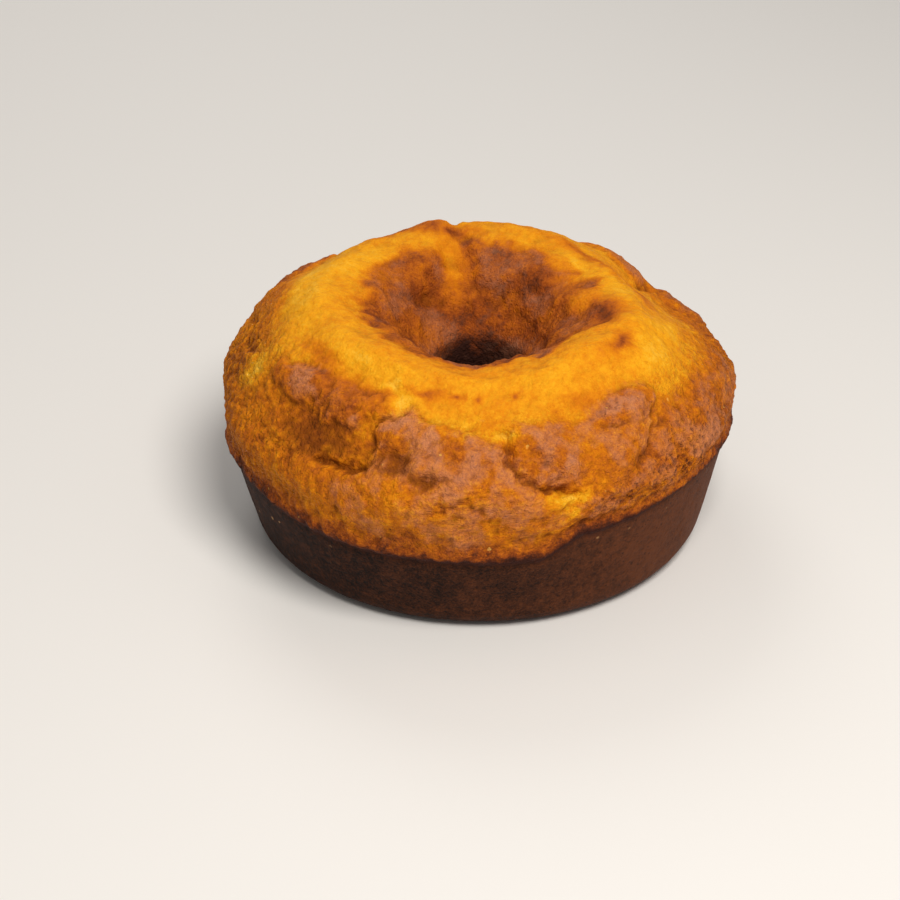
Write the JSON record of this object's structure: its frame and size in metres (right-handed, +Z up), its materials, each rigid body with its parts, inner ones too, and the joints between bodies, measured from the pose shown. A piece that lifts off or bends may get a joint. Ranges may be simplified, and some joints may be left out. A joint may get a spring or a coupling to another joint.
{
  "type": "carrot cake",
  "caption": "Ring-shaped carrot cake with a smooth brown tapered foot, a cracked golden dome that bulges over it, and a browned funnel that leads down to a centre hole.",
  "frame": {"origin": "middle of the flat base, at the level the cake rests on", "axes": "+Z up through the centre hole, -Y towards the front, +X to the front's right"},
  "size_m": [0.2182, 0.2215, 0.106],
  "materials": {
    "crust": "matte baked crust: golden dome with browner plates, fine-pored dark brown foot"
  },
  "bodies": {
    "root": {"cake": "crust"}
  },
  "joints": []
}
